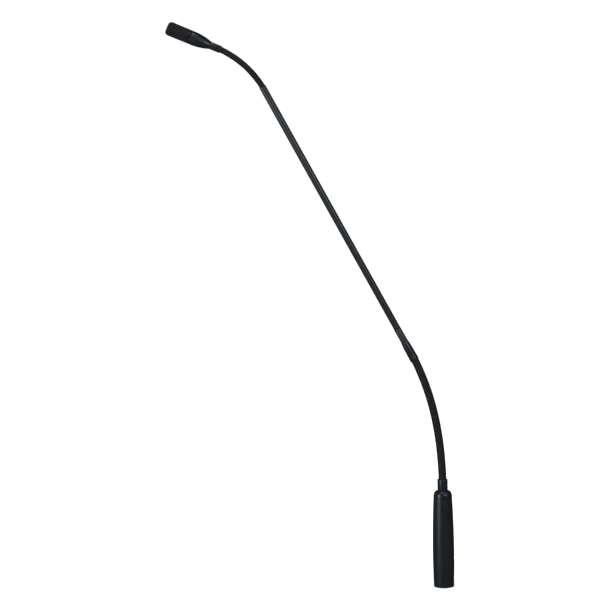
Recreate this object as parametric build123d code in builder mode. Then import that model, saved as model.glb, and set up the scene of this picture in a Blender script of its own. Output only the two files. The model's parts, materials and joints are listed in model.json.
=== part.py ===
from build123d import *

import os
from math import cos, pi, radians, sin, tan

# Gooseneck podium microphone on a three-pin audio plug.
# Millimetres, +Z up. The origin is the centre of the plug's mouth, and +Z is the axis of
# the base. The stem bends in the X-Z plane, towards -X, and the head leans the same way.

os.makedirs("parts", exist_ok=True)

# Fits
slide_gap = 0.03        # radial, between turned pieces that slide into each other
wire_gap = 0.02         # radial, round the cable and the pins
face_gap = 0.1          # between the foam and the grille
corner_share = 0.45     # of the shorter run beside it, for a wire's corner

# Base housing, whose lower end is the shell of the plug
housing_height = 85.5
socket_radius = 8.0
socket_depth = 16.5
mouth_wall = 0.9
belly_wall = 1.5
belly_height = 28.0
chamber_radius = 7.2
shoulder_wall = 0.95
shoulder_drop = 4.2     # height of the rounded shoulder
crown_ledge = 1.9       # flat ring round the ferrule
top_wall = 5.0
mouth_round = 0.35

# Plug
insert_length = 13.0
pin_radius = 1.2
pin_root = 1.5          # where the pin stands in the insert
pin_circle = 4.8
pin_recess = 2.0
pin_collar = 1.9
pin_collar_length = 3.0
tail_radius = 1.0
tail_length = 4.0
cup_radius = 0.65
cup_depth = 2.5
screw_height = 25.5
screw_head_radius = 1.95
screw_radius = 1.5
screw_depth = 4.5
screw_recess = 0.4
latch_height = 8.0
latch_width = 3.6
latch_length = 3.2
key_width = 1.4
key_depth = 0.9
key_length = 5.5
spring_width = 3.0
spring_sheet = 0.4
spring_leg = 5.0

# Preamplifier board and what holds it
board_foot_room = 6.5
board_head_room = 16.5
board_width = 12.0
board_sheet = 1.2
board_ring_height = 3.0
board_ring_wall = 1.55
lead_radius = 0.45
lead_straight = 1.5     # out of the solder cup
lead_reach = 9.0        # up the board
lead_joint = 3.5        # length along the board
side_lead_straight = 2.0
side_lead_drop = 0.8    # the third lead turns this far below the board
chip_size = (3.9, 1.5, 4.9)
chip_places = [(3.2, 9.0)]  # across the board, and above its lower edge
transistor_size = (1.6, 1.1, 2.9)
transistor_places = [(-2.4, 7.6), (-2.4, 11.0)]
film_size = (3.0, 3.0, 5.5)
film_places = [(3.6, 8.0)]
storage_radius = 2.5
storage_height = 5.2
storage_round = 0.4
storage_places = [(0, 13.5), (0, 19.5)]
header_drop = 15.0      # below the board's top edge
header_size = (6.4, 3.8, 6.0)
header_wall = 0.55
plug_size = (5.2, 2.7, 9.5)
plug_chamfer = 0.3
cable_straight = 5.0    # above the plug
cable_crossing = 6.3    # height in which the cable comes over to the axis

# Ferrule
shank_wall = 0.47
ferrule_ledge = 0.44
ferrule_rise = 10.7
ferrule_chamfer = 0.55
shank_length = 10.0
ferrule_seat = 2.5      # floor under the coil's foot
nut_height = 3.8
nut_margin = 2.3        # from the shank to the nut's corners
washer_sheet = 0.6
washer_width = 2.0
grommet_flange = 1.2

# Signal cable
cable_radius = 1.1

# Lower flexible section
lower_radius = 3.62
lower_bore = 2.2
lower_length = 110.5
lower_joints = 9
lower_lean = 27.7
lower_growth = 0.9      # the last bend is this much sharper than the first
lower_winding = 1.84
lower_depth = 0.55
joint_gap = 1.3

# Coupling, sleeve and tube
coupling_wall = 0.37
coupling_lip = 3.5
coupling_step = 0.15
coupling_barrel = 11.5
coupling_length = 19.5
coupling_end_wall = 0.25
coil_seat_depth = 9.0
coupling_web = 2.0
sleeve_wall = 0.14
sleeve_length = 12.0
tube_radius = 3.03
tube_wall = 0.6
tube_end = 276.8        # from the foot of the coupling to the top of the tube

# Upper flexible section
upper_radius = 2.78
upper_bore = 1.55
upper_length = 49.6
upper_joints = 7
upper_lean = 38.5
upper_winding = 1.45
upper_depth = 0.45
upper_foot = 8.0

# Head
collar_wall = 0.46
collar_chamfer = 0.4
collar_length = 10.0
collar_seat = 6.0
neck_radius = 2.6
neck_length = 4.0
head_length = 40.5
head_rear_radius = 3.4
ogive_length = 16.0
grille_start = 18.7
grille_swell = 0.16     # wider at its front than at its rear
grille_wall = 0.5
grille_overlap = 3.5
nose_length = 3.2
nose_radius = 4.2       # of the flat front
head_bore = 4.2
head_bore_start = 8.5

# Capsule
seat_height = 3.0
seat_hole = 3.0
capsule_radius = 4.85
capsule_length = 7.2
can_wall = 0.3
foam_wall = 0.4
ring_cushion = 0.29
ring_height = 1.4
diaphragm_ring_height = 0.6
film_sheet = 0.1
spacer_sheet = 0.2
backplate_sheet = 0.9
holder_wall = 0.19
capsule_ring_width = 0.7
fet_board_sheet = 1.0
fet_size = (2.9, 1.3, 1.1)
capsule_lead_radius = 0.4
front_hole_radius = 0.5
plate_hole_radius = 0.35
holder_height = 2.9
cable_stop = 13.5       # where the cable ends inside the head


def stem_point(point, lean, distance):
    """Point a distance further along a stem that leans from the vertical towards -X."""
    turn = radians(lean)
    return Vector(point.X - distance * sin(turn), 0, point.Z + distance * cos(turn))


def stem_plane(point, lean):
    """Lengthwise plane: local Y runs along the stem, local X to its right-hand side."""
    turn = radians(lean)
    return Plane(origin=point, x_dir=(cos(turn), 0, sin(turn)), z_dir=(0, -1, 0))


def across_plane(point, lean, distance=0.0):
    """Plane across the stem, a distance further along it, with its normal along it."""
    turn = radians(lean)
    origin = stem_point(point, lean, distance)
    return Plane(origin=origin, x_dir=(cos(turn), 0, sin(turn)), z_dir=(-sin(turn), 0, cos(turn)))


def stem_axis(plane):
    return Axis(plane.origin, plane.y_dir)


def turned_ring(plane, outer, inner, low, high):
    """A plain ring about the plane's Y axis, between two distances along it."""
    with BuildPart() as ring:
        with BuildSketch(plane):
            with Locations(((outer + inner) / 2, (low + high) / 2)):
                Rectangle(outer - inner, high - low)
        revolve(axis=stem_axis(plane))
    return ring


def turned_outline(plane, corners):
    """A turned piece whose half section has straight sides only."""
    with BuildPart() as piece:
        with BuildSketch(plane):
            with BuildLine():
                Polyline(*corners, close=True)
            make_face()
        revolve(axis=stem_axis(plane))
    return piece


def wound_tube(plane, radius, bore, depth, pitch, turns, foot=0.0, foot_radius=0.0):
    """A length of wound tube that starts at the plane's origin, with a plain foot below."""
    root = radius - depth
    top = turns * pitch
    corners = [(root, top), (bore, top)]
    if foot:
        corners += [(bore, -foot), (foot_radius, -foot), (foot_radius, 0), (root, 0)]
    else:
        corners += [(bore, 0), (root, 0)]
    with BuildPart() as tube:
        with BuildSketch(plane):
            with BuildLine():
                Polyline(*corners)
                for turn in range(turns):
                    middle = (radius, (turn + 0.5) * pitch)
                    ThreePointArc((root, turn * pitch), middle, (root, (turn + 1) * pitch))
            make_face()
        revolve(axis=stem_axis(plane))
    return tube


def bend_shares(total, bends, growth):
    """Angles of the bends in a flexible section, which sharpen evenly towards its top."""
    weights = [1 + growth * n / (bends - 1) for n in range(bends)]
    return [total * weight / sum(weights) for weight in weights]


def flex_stations(start, lean, length, joints, shares):
    """Each hinge point of a flexible section, with the stem's lean beyond it.

    Hinges that bend the stem in the X-Z plane alternate with hinges that let it sway.
    """
    step = length / joints
    point = stem_point(start, lean, step / 2)
    stations = []
    for n in range(joints):
        if n % 2 == 0:
            lean += shares[n // 2]
        stations.append((point, lean))
        point = stem_point(point, lean, step)
    return stations


def wire(points, radius):
    """A round wire through the points, with each corner as large as its two runs allow."""
    ends = [Vector(*point) for point in points]
    runs = [after - before for before, after in zip(ends, ends[1:])]
    corners = []
    for before, after in zip(runs, runs[1:]):
        half_turn = radians(before.get_angle(after)) / 2
        corners.append(corner_share * min(before.length, after.length) / tan(half_turn))
    with BuildPart() as piece:
        with BuildLine() as route:
            FilletPolyline(*ends, radius=corners)
        with BuildSketch(Plane(origin=ends[0], z_dir=runs[0])):
            Circle(radius)
        sweep(path=route.wires()[0])
    return piece, corners, route.wires()[0].length


def write(piece, name):
    piece.part.label = name
    export_step(piece.part, f"parts/{name}.step")


# Heights in the base
insert_top = socket_depth + insert_length
ceiling = housing_height - top_wall
ferrule_top = housing_height + ferrule_rise
shank_low = housing_height - shank_length
coil_seat = shank_low + ferrule_seat
lower_fit = lower_radius + slide_gap
shank_radius = lower_fit + shank_wall
ferrule_radius = shank_radius + ferrule_ledge
mouth_radius = socket_radius + mouth_wall
belly_radius = socket_radius + belly_wall
shoulder_radius = chamber_radius + shoulder_wall
shank_hole = shank_radius + slide_gap

# Housing: a turned shell with the plug's socket below and the chamber above
with BuildPart() as housing_shell:
    with BuildSketch(Plane.XZ):
        with BuildLine():
            belly = (belly_radius, belly_height)
            shoulder = (shoulder_radius, housing_height - shoulder_drop)
            crown = (ferrule_radius + crown_ledge, housing_height)
            TangentArc(belly, (mouth_radius, 0), tangent=(0, -1))
            TangentArc(belly, shoulder, tangent=(0, 1))
            TangentArc(shoulder, crown, tangent=(0, 1))
            Polyline(
                crown,
                (shank_hole, housing_height),
                (shank_hole, ceiling),
                (chamber_radius, ceiling),
                (chamber_radius, insert_top),
                (socket_radius, insert_top),
                (socket_radius, 0),
                (mouth_radius, 0),
            )
        make_face()
    revolve(axis=Axis.Z)
    mouth_edges = edges().filter_by(GeomType.CIRCLE).group_by(Axis.Z)[0]
    fillet(mouth_edges.sort_by(SortBy.RADIUS)[-1], mouth_round)
    with BuildSketch(Plane.XY.offset(socket_depth - key_length)):
        with Locations((socket_radius + mouth_wall / 2 - key_depth, 0)):
            Rectangle(key_depth + mouth_wall, key_width)
    extrude(amount=key_length)
    with BuildSketch(Plane.YZ.offset(chamber_radius)):
        with Locations((0, latch_height)):
            RectangleRounded(latch_width, latch_length, latch_length / 4)
        with Locations((0, screw_height)):
            Circle(screw_head_radius + 5 * slide_gap)
    extrude(amount=2 * belly_wall + mouth_wall, mode=Mode.SUBTRACT)
write(housing_shell, "housing_shell")

# Insert of the plug, with a stepped hole for each pin and a radial one for the screw
pin_places = [(0, pin_circle), (0, -pin_circle), (-pin_circle, 0)]
insert_radius = socket_radius - slide_gap
screw_seat = insert_radius - screw_recess
with BuildPart() as xlr_insert:
    with BuildSketch(Plane.XY.offset(socket_depth)):
        Circle(insert_radius)
    extrude(amount=insert_length)
    with Locations(*[Pos(x, y, insert_top) for x, y in pin_places]):
        CounterBoreHole(pin_root + wire_gap, pin_collar + wire_gap, pin_collar_length)
    with Locations(Plane.YZ.offset(insert_radius) * Pos(0, screw_height, 0)):
        CounterBoreHole(screw_radius, screw_head_radius + slide_gap, screw_recess, screw_depth)
write(xlr_insert, "xlr_insert")

# Contact pins: rounded tip, collar in the insert, solder cup behind it
for number, place in enumerate(pin_places, 1):
    pin_plane = stem_plane(Vector(*place, pin_recess), 0)
    collar_low = insert_top - pin_collar_length - pin_recess
    collar_high = insert_top - pin_recess
    pin_top = collar_high + tail_length
    with BuildPart() as contact_pin:
        with BuildSketch(pin_plane):
            with BuildLine():
                Polyline(
                    (pin_radius, pin_radius),
                    (pin_radius, socket_depth - pin_recess),
                    (pin_root, socket_depth - pin_recess),
                    (pin_root, collar_low),
                    (pin_collar, collar_low),
                    (pin_collar, collar_high),
                    (tail_radius, collar_high),
                    (tail_radius, pin_top),
                    (cup_radius, pin_top),
                    (cup_radius, pin_top - cup_depth),
                    (0, pin_top - cup_depth),
                    (0, 0),
                )
                TangentArc((pin_radius, pin_radius), (0, 0), tangent=(0, -1))
            make_face()
        revolve(axis=stem_axis(pin_plane))
    write(contact_pin, f"contact_pin_{number}")

# Earth spring: a bent strip from the first pin's tail to the chamber wall
spring_reach = (chamber_radius ** 2 - (spring_width / 2) ** 2) ** 0.5 - slide_gap
with BuildPart() as ground_spring:
    with BuildSketch(Plane.YZ):
        with BuildLine():
            Polyline(
                (pin_circle - pin_collar, insert_top),
                (spring_reach, insert_top),
                (spring_reach, insert_top + spring_leg),
                (spring_reach - spring_sheet, insert_top + spring_leg),
                (spring_reach - spring_sheet, insert_top + spring_sheet),
                (pin_circle - pin_collar, insert_top + spring_sheet),
                close=True,
            )
        make_face()
    extrude(amount=spring_width / 2, both=True)
    with Locations((0, pin_circle, insert_top + spring_sheet)):
        Hole(tail_radius + wire_gap)
write(ground_spring, "ground_spring")

# Retaining screw, whose socketed head ends below the housing's surface
with BuildPart() as insert_screw:
    with BuildSketch(Plane.YZ.offset(screw_seat)):
        with Locations((0, screw_height)):
            Circle(screw_head_radius)
    extrude(amount=belly_radius - screw_recess - screw_seat)
    screw_face = faces().sort_by(Axis.X)[-1]
    with BuildSketch(Plane.YZ.offset(screw_seat)):
        with Locations((0, screw_height)):
            Circle(screw_radius - wire_gap)
    extrude(amount=screw_recess - screw_depth)
    with BuildSketch(Plane(screw_face)):
        RegularPolygon(screw_head_radius / 2, 6)
    extrude(amount=-screw_recess * 2, mode=Mode.SUBTRACT)
write(insert_screw, "insert_screw")

# Board, upright in the chamber, between two slotted rings
board_low = insert_top + board_foot_room
board_high = ceiling - board_head_room
board_length = board_high - board_low
board_face = board_sheet / 2
with BuildPart() as preamp_board:
    with BuildSketch(Plane.XY.offset(board_low)):
        Rectangle(board_width, board_sheet)
    extrude(amount=board_length)
write(preamp_board, "preamp_board")

ring_outer = chamber_radius - slide_gap
for name, low in (
    ("board_ring_lower", board_low + board_sheet),
    ("board_ring_upper", board_high - board_sheet - board_ring_height),
):
    with BuildPart() as board_ring:
        with BuildSketch(Plane.XY.offset(low)):
            Circle(ring_outer)
            Circle(ring_outer - board_ring_wall, mode=Mode.SUBTRACT)
            Rectangle(board_width + 2 * slide_gap, board_sheet + 2 * slide_gap, mode=Mode.SUBTRACT)
        extrude(amount=board_ring_height)
    write(board_ring, name)

# Leads from the pins' solder cups to the board
lead_foot = insert_top + tail_length - cup_depth
lead_bend = insert_top + tail_length + lead_straight
lead_y = board_face + lead_radius + wire_gap
lead_end = board_low + lead_reach
lead_routes = [
    [(0, side * pin_circle, lead_foot), (0, side * pin_circle, lead_bend),
     (0, side * lead_y, lead_end - lead_joint), (0, side * lead_y, lead_end)]
    for side in (1, -1)
]
lead_routes.append(
    [(-pin_circle, 0, lead_foot), (-pin_circle, 0, lead_foot + side_lead_straight),
     (-pin_circle, -lead_y, board_low - side_lead_drop), (-pin_circle, -lead_y, lead_end)]
)
pin_leads = [wire(route, lead_radius)[0].part for route in lead_routes]
export_step(Compound(label="pin_leads", children=pin_leads), "parts/pin_leads.step")


def on_board(name, side, places, size):
    """Boxed components of one kind on a face of the board: side -1 is the front."""
    width, height, length = size
    with BuildPart() as component:
        with Locations(*[Pos(x, side * (board_face + height / 2), board_low + z) for x, z in places]):
            Box(width, height, length)
    write(component, name)


on_board("buffer_chip", -1, chip_places, chip_size)
on_board("output_transistors", -1, transistor_places, transistor_size)
on_board("film_capacitor", 1, film_places, film_size)

with BuildPart() as storage_capacitors:
    with BuildSketch(Plane.XZ.offset(-board_face)):
        with Locations(*[(x, board_low + z) for x, z in storage_places]):
            Circle(storage_radius)
    extrude(amount=-storage_height)
    rims = edges().filter_by(GeomType.CIRCLE).group_by(Axis.Y)[-1]
    fillet(rims, storage_round)
write(storage_capacitors, "storage_capacitors")

# Header on the board, and the plug on the stem's cable that stands in it
header_low = board_high - header_drop
header_y = -board_face - header_size[1] / 2
with BuildPart() as board_header:
    with BuildSketch(Plane.XY.offset(header_low)):
        with Locations((0, header_y)):
            Rectangle(header_size[0], header_size[1])
    extrude(amount=header_size[2])
    with BuildSketch(Plane.XY.offset(header_low + header_size[2])):
        with Locations((0, header_y)):
            Rectangle(plug_size[0] + 2 * slide_gap, plug_size[1] + 2 * slide_gap)
    extrude(amount=header_wall - header_size[2], mode=Mode.SUBTRACT)
write(board_header, "board_header")

plug_low = header_low + header_wall
plug_top = plug_low + plug_size[2]
with BuildPart() as stem_plug:
    with BuildSketch(Plane.XY.offset(plug_low)):
        with Locations((0, header_y)):
            Rectangle(plug_size[0], plug_size[1])
    extrude(amount=plug_size[2])
    chamfer(edges().group_by(Axis.Z)[-1], plug_chamfer)
write(stem_plug, "stem_plug")

# Ferrule, with its shank through the top wall, its washer and its nut
with BuildPart() as base_ferrule:
    with BuildSketch(Plane.XZ):
        with BuildLine():
            Polyline(
                (lower_bore, shank_low),
                (shank_radius, shank_low),
                (shank_radius, housing_height),
                (ferrule_radius, housing_height),
                (ferrule_radius, ferrule_top),
                (lower_fit, ferrule_top),
                (lower_fit, coil_seat),
                (lower_bore, coil_seat),
                close=True,
            )
        make_face()
    revolve(axis=Axis.Z)
    rims = edges().filter_by(GeomType.CIRCLE).group_by(Axis.Z)[-1]
    chamfer(rims.sort_by(SortBy.RADIUS)[-1], ferrule_chamfer)
write(base_ferrule, "base_ferrule")

with BuildPart() as ferrule_nut:
    with BuildSketch(Plane.XY.offset(ceiling - washer_sheet - nut_height)):
        RegularPolygon(shank_radius + nut_margin, 6)
        Circle(shank_hole, mode=Mode.SUBTRACT)
    extrude(amount=nut_height)
write(ferrule_nut, "ferrule_nut")

base_plane = stem_plane(Vector(0, 0, 0), 0)
lock_washer = turned_ring(
    base_plane, shank_radius + washer_width, shank_hole, ceiling - washer_sheet, ceiling
)
write(lock_washer, "lock_washer")

grommet_radius = lower_bore - slide_gap
cable_hole = cable_radius + wire_gap
write(
    turned_outline(
        base_plane,
        [
            (cable_hole, shank_low - grommet_flange),
            (shank_radius - 4 * face_gap, shank_low - grommet_flange),
            (shank_radius - 4 * face_gap, shank_low),
            (grommet_radius, shank_low),
            (grommet_radius, coil_seat),
            (cable_hole, coil_seat),
        ],
    ),
    "cable_grommet",
)

# Lower flexible section: rigid lengths of wound tube, hinged to each other
lower_start = Vector(0, 0, ferrule_top)
lower_bends = bend_shares(lower_lean, lower_joints // 2 + 1, lower_growth)
lower_stations = flex_stations(lower_start, 0, lower_length, lower_joints, lower_bends)
lower_half = (lower_length / lower_joints - joint_gap) / 2
lower_turns = round(lower_half / lower_winding)
lower_pitch = lower_half / lower_turns
lower_end = stem_point(*lower_stations[-1], joint_gap / 2 + lower_half)
lower_sizes = (lower_radius, lower_bore, lower_depth, lower_pitch)

lower_coil_foot = wound_tube(
    stem_plane(lower_start, 0), *lower_sizes, lower_turns, ferrule_top - coil_seat, lower_radius
)
write(lower_coil_foot, "lower_coil_foot")
for number, (hinge, lean) in enumerate(lower_stations[:-1], 1):
    link_plane = stem_plane(stem_point(hinge, lean, joint_gap / 2), lean)
    write(wound_tube(link_plane, *lower_sizes, 2 * lower_turns), f"lower_coil_link_{number}")
tube_lean = lower_stations[-1][1]
lower_coil_head = wound_tube(
    stem_plane(lower_end, tube_lean + 180), *lower_sizes, lower_turns, coil_seat_depth, lower_radius
)
write(lower_coil_head, "lower_coil_head")

# Coupling, sleeve and tube
tube_plane = stem_plane(lower_end, tube_lean)
tube_fit = tube_radius + slide_gap
tube_start = coil_seat_depth + coupling_web
coupling_radius = lower_fit + coupling_wall
coupling_waist = coupling_radius - coupling_step
tube_coupling = turned_outline(
    tube_plane,
    [
        (lower_fit, 0),
        (coupling_radius - coupling_step, 0),
        (coupling_radius, coupling_step),
        (coupling_radius, coupling_lip),
        (coupling_waist, coupling_lip + coupling_step),
        (coupling_waist, coupling_barrel),
        (tube_fit + coupling_end_wall, coupling_length),
        (tube_fit, coupling_length),
        (tube_fit, tube_start),
        (lower_bore, tube_start),
        (lower_bore, coil_seat_depth),
        (lower_fit, coil_seat_depth),
    ],
)
write(tube_coupling, "tube_coupling")
sleeve_end = coupling_length + sleeve_length
sleeve = turned_ring(tube_plane, tube_fit + sleeve_wall, tube_fit, coupling_length, sleeve_end)
write(sleeve, "coupling_sleeve")
tube_bore = tube_radius - tube_wall
write(turned_ring(tube_plane, tube_radius, tube_bore, tube_start, tube_end), "rigid_tube")

# Upper flexible section
upper_start = stem_point(lower_end, tube_lean, tube_end)
upper_bends = bend_shares(upper_lean, upper_joints // 2 + 1, 0)
upper_stations = flex_stations(upper_start, tube_lean, upper_length, upper_joints, upper_bends)
upper_half = (upper_length / upper_joints - joint_gap) / 2
upper_turns = round(upper_half / upper_winding)
upper_pitch = upper_half / upper_turns
upper_end = stem_point(*upper_stations[-1], joint_gap / 2 + upper_half)
upper_sizes = (upper_radius, upper_bore, upper_depth, upper_pitch)

upper_coil_foot = wound_tube(
    stem_plane(upper_start, tube_lean), *upper_sizes, upper_turns, upper_foot, tube_bore - slide_gap
)
write(upper_coil_foot, "upper_coil_foot")
for number, (hinge, lean) in enumerate(upper_stations[:-1], 1):
    link_plane = stem_plane(stem_point(hinge, lean, joint_gap / 2), lean)
    write(wound_tube(link_plane, *upper_sizes, 2 * upper_turns), f"upper_coil_link_{number}")
head_lean = upper_stations[-1][1]
upper_coil_head = wound_tube(
    stem_plane(upper_end, head_lean + 180), *upper_sizes, upper_turns, collar_seat, upper_radius
)
write(upper_coil_head, "upper_coil_head")

# Head: collar, body and grille, turned about one axis. Distances run from the head's rear
head_rear = stem_point(upper_end, head_lean, collar_length)
head_plane = stem_plane(head_rear, head_lean)
upper_fit = upper_radius + slide_gap
collar_radius = upper_fit + collar_wall
head_collar = turned_outline(
    head_plane,
    [
        (upper_fit, -collar_length),
        (collar_radius - collar_chamfer, -collar_length),
        (collar_radius, collar_chamfer - collar_length),
        (collar_radius, 0),
        (neck_radius, 0),
        (neck_radius, neck_length),
        (upper_bore, neck_length),
        (upper_bore, collar_seat - collar_length),
        (upper_fit, collar_seat - collar_length),
    ],
)
write(head_collar, "head_collar")

neck_fit = neck_radius + slide_gap
neck_floor = neck_length + 4 * face_gap
foam_bore = capsule_radius + ring_cushion
seat_radius = foam_bore + foam_wall
grille_bore = seat_radius + face_gap
spigot_radius = grille_bore - slide_gap
head_radius = spigot_radius + grille_wall - slide_gap
spigot_end = grille_start + grille_overlap
with BuildPart() as head_body:
    with BuildSketch(head_plane):
        with BuildLine():
            TangentArc((head_radius, ogive_length), (head_rear_radius, 0), tangent=(0, -1))
            Polyline(
                (head_radius, ogive_length),
                (head_radius, grille_start),
                (spigot_radius, grille_start),
                (spigot_radius, spigot_end),
                (head_bore, spigot_end),
                (head_bore, head_bore_start),
                (upper_bore, head_bore_start),
                (upper_bore, neck_floor),
                (neck_fit, neck_floor),
                (neck_fit, 0),
                (head_rear_radius, 0),
            )
        make_face()
    revolve(axis=stem_axis(head_plane))
write(head_body, "head_body")

nose_start = head_length - nose_length
grille_radius = head_radius + grille_swell
grille_rear_radius = grille_bore + grille_wall
inner_nose = (grille_radius - grille_wall, nose_start)
with BuildPart() as grille:
    with BuildSketch(head_plane):
        with BuildLine():
            Polyline(
                (grille_radius, nose_start),
                (grille_rear_radius, grille_start),
                (grille_bore, grille_start),
                inner_nose,
            )
            TangentArc(inner_nose, (nose_radius, head_length - grille_wall), tangent=(0, 1))
            Polyline(
                (nose_radius, head_length - grille_wall),
                (0, head_length - grille_wall),
                (0, head_length),
                (nose_radius, head_length),
            )
            TangentArc((grille_radius, nose_start), (nose_radius, head_length), tangent=(0, 1))
        make_face()
    revolve(axis=stem_axis(head_plane))
write(grille, "grille")

# Capsule seat on the spigot, foam round and in front of the capsule
capsule_low = spigot_end + seat_height
capsule_high = capsule_low + capsule_length
foam_end = head_length - grille_wall - face_gap
foam_floor = capsule_high + 8 * face_gap
write(
    turned_outline(
        head_plane,
        [
            (seat_hole, spigot_end - seat_height),
            (head_bore - slide_gap, spigot_end - seat_height),
            (head_bore - slide_gap, spigot_end),
            (seat_radius, spigot_end),
            (seat_radius, capsule_low),
            (seat_hole, capsule_low),
        ],
    ),
    "capsule_seat",
)
with BuildPart() as foam_liner:
    with BuildSketch(head_plane):
        with BuildLine():
            Polyline(
                (seat_radius, nose_start),
                (seat_radius, capsule_low),
                (foam_bore, capsule_low),
                (foam_bore, foam_floor),
                (0, foam_floor),
                (0, foam_end),
                (nose_radius - 4 * face_gap, foam_end),
            )
            TangentArc(
                (seat_radius, nose_start), (nose_radius - 4 * face_gap, foam_end), tangent=(0, 1)
            )
        make_face()
    revolve(axis=stem_axis(head_plane))
write(foam_liner, "foam_liner")

for name, low in (
    ("capsule_ring_rear", capsule_low + ring_height / 2),
    ("capsule_ring_front", capsule_high - 3 * ring_height / 2),
):
    cushion = turned_ring(
        head_plane, foam_bore - wire_gap, capsule_radius + wire_gap, low, low + ring_height
    )
    write(cushion, name)

# Capsule, from its front wall back
can_bore = capsule_radius - can_wall
stack_radius = can_bore - slide_gap
backplate_radius = stack_radius - holder_wall - slide_gap
ring_top = capsule_high - can_wall
film_top = ring_top - diaphragm_ring_height
spacer_top = film_top - film_sheet
backplate_top = spacer_top - spacer_sheet
holder_ledge = backplate_top - backplate_sheet
holder_low = holder_ledge - holder_height
fet_board_low = holder_low - fet_board_sheet


def sound_holes(level, radius, circle):
    """Seven round holes across the head's axis, one of them in the middle."""
    with BuildSketch(across_plane(head_rear, head_lean, level)) as holes:
        Circle(radius)
        with PolarLocations(circle, 6):
            Circle(radius)
    return holes.sketch


with BuildPart() as capsule_can:
    with BuildSketch(head_plane):
        with BuildLine():
            Polyline(
                (can_bore, capsule_low),
                (capsule_radius, capsule_low),
                (capsule_radius, capsule_high),
                (0, capsule_high),
                (0, ring_top),
                (can_bore, ring_top),
                close=True,
            )
        make_face()
    revolve(axis=stem_axis(head_plane))
    front_holes = sound_holes(capsule_high, front_hole_radius, capsule_radius / 2)
    extrude(front_holes, amount=-2 * can_wall, mode=Mode.SUBTRACT)
write(capsule_can, "capsule_can")

inner_ring = stack_radius - capsule_ring_width
write(turned_ring(head_plane, stack_radius, inner_ring, film_top, ring_top), "diaphragm_ring")
write(turned_ring(head_plane, stack_radius, 0, spacer_top, film_top), "diaphragm")
write(turned_ring(head_plane, stack_radius, inner_ring, backplate_top, spacer_top), "spacer_ring")
with BuildPart() as backplate:
    with BuildSketch(across_plane(head_rear, head_lean, holder_ledge)):
        Circle(backplate_radius)
    extrude(amount=backplate_sheet)
    plate_holes = sound_holes(backplate_top, plate_hole_radius, backplate_radius / 2)
    extrude(plate_holes, amount=-2 * backplate_sheet, mode=Mode.SUBTRACT)
write(backplate, "backplate")
holder_bore = backplate_radius + slide_gap
backplate_holder = turned_outline(
    head_plane,
    [
        (inner_ring - capsule_ring_width / 2, holder_low),
        (stack_radius, holder_low),
        (stack_radius, backplate_top),
        (holder_bore, backplate_top),
        (holder_bore, holder_ledge),
        (inner_ring - capsule_ring_width / 2, holder_ledge),
    ],
)
write(backplate_holder, "backplate_holder")
write(turned_ring(head_plane, stack_radius, 0, fet_board_low, holder_low), "fet_board")
with BuildPart() as field_effect_transistor:
    with BuildSketch(across_plane(head_rear, head_lean, holder_low)):
        Rectangle(fet_size[0], fet_size[1])
    extrude(amount=fet_size[2])
write(field_effect_transistor, "field_effect_transistor")

with BuildPart() as capsule_leads:
    with BuildSketch(across_plane(head_rear, head_lean, cable_stop)):
        with GridLocations(cable_radius, 0, 2, 1):
            Circle(capsule_lead_radius)
    extrude(amount=fet_board_low - cable_stop)
write(capsule_leads, "capsule_leads")

# Signal cable, whole, from the plug on the board to the capsule's leads
cable_points = [
    (0, header_y, plug_top),
    (0, header_y, plug_top + cable_straight),
    (0, 0, plug_top + cable_straight + cable_crossing),
]
for hinge, _ in lower_stations[::2] + upper_stations[::2]:
    cable_points.append(tuple(hinge))
cable_points.append(tuple(stem_point(head_rear, head_lean, cable_stop)))
signal_cable, cable_corners, cable_length = wire(cable_points, cable_radius)
write(signal_cable, "signal_cable")

cable_share = signal_cable.part.volume / (pi * cable_radius ** 2 * cable_length)
print("cable length", round(cable_length, 1), "volume over section times length", round(cable_share, 4))
print("cable corner radii", [round(corner, 1) for corner in cable_corners])
for label, stations in (("lower", lower_stations), ("upper", upper_stations)):
    for hinge, lean in stations:
        print(label, "hinge", round(hinge.X, 4), round(hinge.Z, 4), "lean beyond", round(lean, 4))
print("upper end", upper_end, "head rear", head_rear, "lean", head_lean)
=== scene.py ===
import json
from bisect import bisect_right
from math import atan2, ceil, cos, pi, radians, sin, tau

import bmesh
import bpy
from mathutils import Matrix, Vector, noise


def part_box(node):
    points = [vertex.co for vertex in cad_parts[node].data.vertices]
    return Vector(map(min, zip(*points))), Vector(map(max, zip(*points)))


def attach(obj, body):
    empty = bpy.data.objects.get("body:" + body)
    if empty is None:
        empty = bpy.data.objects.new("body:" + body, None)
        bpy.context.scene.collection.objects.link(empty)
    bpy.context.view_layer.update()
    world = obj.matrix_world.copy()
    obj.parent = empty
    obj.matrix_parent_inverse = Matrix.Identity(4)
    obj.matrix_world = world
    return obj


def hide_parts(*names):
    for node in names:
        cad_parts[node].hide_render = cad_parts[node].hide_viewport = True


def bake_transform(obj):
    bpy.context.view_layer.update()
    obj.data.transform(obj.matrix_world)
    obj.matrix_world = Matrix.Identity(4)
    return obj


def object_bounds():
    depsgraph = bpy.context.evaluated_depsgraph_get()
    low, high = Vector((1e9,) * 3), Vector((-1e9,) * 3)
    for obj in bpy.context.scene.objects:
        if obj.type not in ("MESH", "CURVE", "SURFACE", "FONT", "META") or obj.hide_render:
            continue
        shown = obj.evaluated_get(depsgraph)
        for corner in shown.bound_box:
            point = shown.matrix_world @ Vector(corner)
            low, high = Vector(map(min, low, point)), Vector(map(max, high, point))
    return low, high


# A gooseneck podium microphone: plug base, two flexible sections, tube and head.
# Outlines are (radius, height) in millimetres about a piece's own axis; the frame is in metres.

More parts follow.
